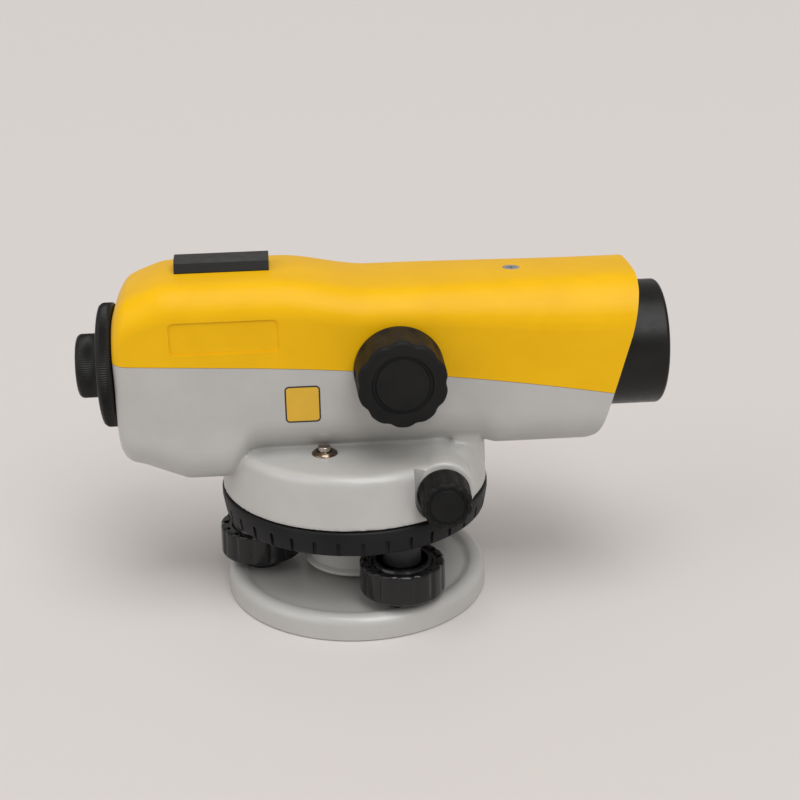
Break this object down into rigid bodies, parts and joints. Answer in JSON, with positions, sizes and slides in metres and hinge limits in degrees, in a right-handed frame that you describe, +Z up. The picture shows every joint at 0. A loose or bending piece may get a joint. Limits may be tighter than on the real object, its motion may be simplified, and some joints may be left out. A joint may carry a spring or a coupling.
{
  "type": "automatic level",
  "caption": "Automatic surveying level on a three-screw base, with a notched horizontal circle, endless tangent drive, side focusing knob and laser button.",
  "frame": {"origin": "centre of the tripod thread at the tripod face under the base plate, on the vertical axis", "axes": "+X along the line of sight towards the objective, +Z up along the vertical axis, +Y to the left of the line of sight"},
  "size_m": [0.215, 0.107, 0.1334],
  "materials": {
    "yellow_paint": "semi-gloss powder coat",
    "grey_paint": "semi-gloss powder coat",
    "black_knob": "fine-textured moulding",
    "black_gloss": "glossy moulding",
    "black_anodised": "black anodised, satin",
    "circle_black": "satin moulding",
    "sleeve_black": "satin moulding",
    "steel": "turned",
    "chrome": "polished plating",
    "brass": "turned",
    "bronze": "sintered",
    "aluminium": "machined",
    "zinc": "zinc plated",
    "lens_glass": "coated",
    "prism_glass": "polished",
    "vial_fluid": "filled glass vial",
    "mirror_face": "polished",
    "cell_wrap": "shrink wrap",
    "board_green": "solder mask"
  },
  "bodies": {
    "base": {"base_plate": "grey_paint", "tripod_bush": "brass", "spring_plate": "steel", "spring_plate_screws": "zinc", "foot_caps": "sleeve_black", "foot_cups_bc": "brass"},
    "cup_a": {"foot_cup_a": "brass"},
    "tribrach": {"tribrach": "grey_paint", "foot_sleeves": "sleeve_black", "foot_nuts": "brass", "spindle_bush": "bronze", "clutch_spring": "steel"},
    "circle": {"circle_ring": "circle_black"},
    "clutch": {"worm_wheel": "brass"},
    "alidade": {"housing_lower": "grey_paint", "cover_upper": "yellow_paint", "cover_screws": "chrome", "spindle": "steel", "spindle_screws": "zinc", "spindle_nut": "steel", "dust_plate": "aluminium", "worm_bushes": "bronze", "telescope_tube": "black_anodised", "objective_barrel": "black_anodised", "objective_lens": "lens_glass", "objective_retainer": "black_anodised", "focus_bush": "aluminium", "eyepiece_mount": "black_anodised", "reticle": "lens_glass", "reticle_cover": "black_anodised", "compensator_frame": "aluminium", "fixed_prisms": "prism_glass", "laser_module": "brass", "battery": "cell_wrap", "button_bezel": "chrome", "button_switch": "sleeve_black", "vial_housing": "sleeve_black", "vial_glass": "vial_fluid", "peep_sight": "black_anodised"},
    "tangent_drive": {"worm_shaft": "steel", "tangent_knob_near": "black_knob", "tangent_knob_far": "black_knob"},
    "focus_drive": {"focus_shaft": "steel", "focus_knob": "black_knob"},
    "focus_slide": {"focus_carriage": "black_anodised", "focus_lens": "lens_glass"},
    "eyepiece": {"eyepiece_ring": "black_anodised"},
    "eyepiece_slide": {"eyepiece_cell": "black_anodised"},
    "pendulum": {"pendulum": "steel"},
    "button": {"laser_button": "chrome"},
    "mirror": {"vial_mirror": "mirror_face"},
    "ball_a": {"foot_ball_a": "steel"},
    "screw_a": {"foot_screw_a": "steel", "foot_knob_a": "black_gloss"},
    "ball_b": {"foot_ball_b": "steel"},
    "screw_b": {"foot_screw_b": "steel", "foot_knob_b": "black_gloss"},
    "ball_c": {"foot_ball_c": "steel"},
    "screw_c": {"foot_screw_c": "steel", "foot_knob_c": "black_gloss"}
  },
  "joints": [
    {"name": "cross_tilt", "type": "hinge", "parent": "base", "child": "cup_a", "pos_m": [0.01505, -0.0338, 0.0046], "axis": [0.4067, -0.9135, 0], "range_deg": [-2.68, 2.68]},
    {"name": "fore_tilt", "type": "hinge", "parent": "cup_a", "child": "tribrach", "pos_m": [-0.0368, 0.00387, 0.0046], "axis": [0.9135, 0.4067, 0], "range_deg": [-1.55, 1.55]},
    {"name": "foot_a_slide", "type": "slide", "parent": "tribrach", "child": "ball_a", "axis": [0, 0, 1], "range_m": [-0.0015, 0.0015]},
    {"name": "foot_a_turn", "type": "hinge", "parent": "ball_a", "child": "screw_a", "pos_m": [0.01505, -0.0338, 0.02], "axis": [0, 0, 1], "range_deg": [-720, 720]},
    {"name": "foot_b_slide", "type": "slide", "parent": "tribrach", "child": "ball_b", "axis": [0, 0, 1], "range_m": [-0.0015, 0.0015]},
    {"name": "foot_b_turn", "type": "hinge", "parent": "ball_b", "child": "screw_b", "pos_m": [-0.0368, 0.00387, 0.02], "axis": [0, 0, 1], "range_deg": [-720, 720]},
    {"name": "foot_c_slide", "type": "slide", "parent": "tribrach", "child": "ball_c", "axis": [0, 0, 1], "range_m": [-0.0015, 0.0015]},
    {"name": "foot_c_turn", "type": "hinge", "parent": "ball_c", "child": "screw_c", "pos_m": [0.02175, 0.02993, 0.02], "axis": [0, 0, 1], "range_deg": [-720, 720]},
    {"name": "circle_turn", "type": "hinge", "parent": "tribrach", "child": "circle", "pos_m": [0, 0, 0.0342], "axis": [0, 0, 1], "continuous": true},
    {"name": "clutch_turn", "type": "hinge", "parent": "tribrach", "child": "clutch", "pos_m": [0, 0, 0.0541], "axis": [0, 0, 1], "continuous": true},
    {"name": "alidade_turn", "type": "hinge", "parent": "clutch", "child": "alidade", "pos_m": [0, 0, 0.0541], "axis": [0, 0, 1], "continuous": true},
    {"name": "tangent_turn", "type": "hinge", "parent": "alidade", "child": "tangent_drive", "pos_m": [0.0297, 0, 0.0541], "axis": [0, -1, 0], "continuous": true},
    {"name": "focus_turn", "type": "hinge", "parent": "alidade", "child": "focus_drive", "pos_m": [0.0156, -0.03, 0.0965], "axis": [0, -1, 0], "range_deg": [-229.3, 229.3]},
    {"name": "focus_travel", "type": "slide", "parent": "alidade", "child": "focus_slide", "axis": [1, 0, 0], "range_m": [-0.01, 0.01]},
    {"name": "eyepiece_turn", "type": "hinge", "parent": "alidade", "child": "eyepiece", "pos_m": [-0.095, 0, 0.0935], "axis": [-1, 0, 0], "range_deg": [-180.1, 180.1]},
    {"name": "eyepiece_travel", "type": "slide", "parent": "alidade", "child": "eyepiece_slide", "axis": [-1, 0, 0], "range_m": [-0.0015, 0.0015]},
    {"name": "pendulum_swing", "type": "hinge", "parent": "alidade", "child": "pendulum", "pos_m": [-0.028, 0, 0.1125], "axis": [0, 1, 0], "range_deg": [-1, 1]},
    {"name": "button_press", "type": "slide", "parent": "alidade", "child": "button", "axis": [0, 0, -1], "range_m": [0, 0.0008], "stiffness_N_per_m": 800, "springref_m": -0.001},
    {"name": "mirror_fold", "type": "hinge", "parent": "alidade", "child": "mirror", "pos_m": [0.0035, 0.0335, 0.073], "axis": [0, 1, 0], "range_deg": [-38, 45]}
  ],
  "couplings": [
    {"joint": "foot_a_turn", "follows": "fore_tilt", "ratio": 464.96},
    {"joint": "foot_a_slide", "follows": "fore_tilt", "m_per_rad": 0.0555},
    {"joint": "foot_b_turn", "follows": "cross_tilt", "ratio": 268.44},
    {"joint": "foot_b_slide", "follows": "cross_tilt", "m_per_rad": 0.032043},
    {"joint": "foot_c_turn", "follows": "cross_tilt", "ratio": -268.44},
    {"joint": "foot_c_slide", "follows": "cross_tilt", "m_per_rad": -0.032043},
    {"joint": "tangent_turn", "follows": "alidade_turn", "ratio": 90},
    {"joint": "focus_turn", "follows": "focus_travel", "rad_per_m": 400},
    {"joint": "eyepiece_turn", "follows": "eyepiece_travel", "rad_per_m": 2094.4}
  ]
}
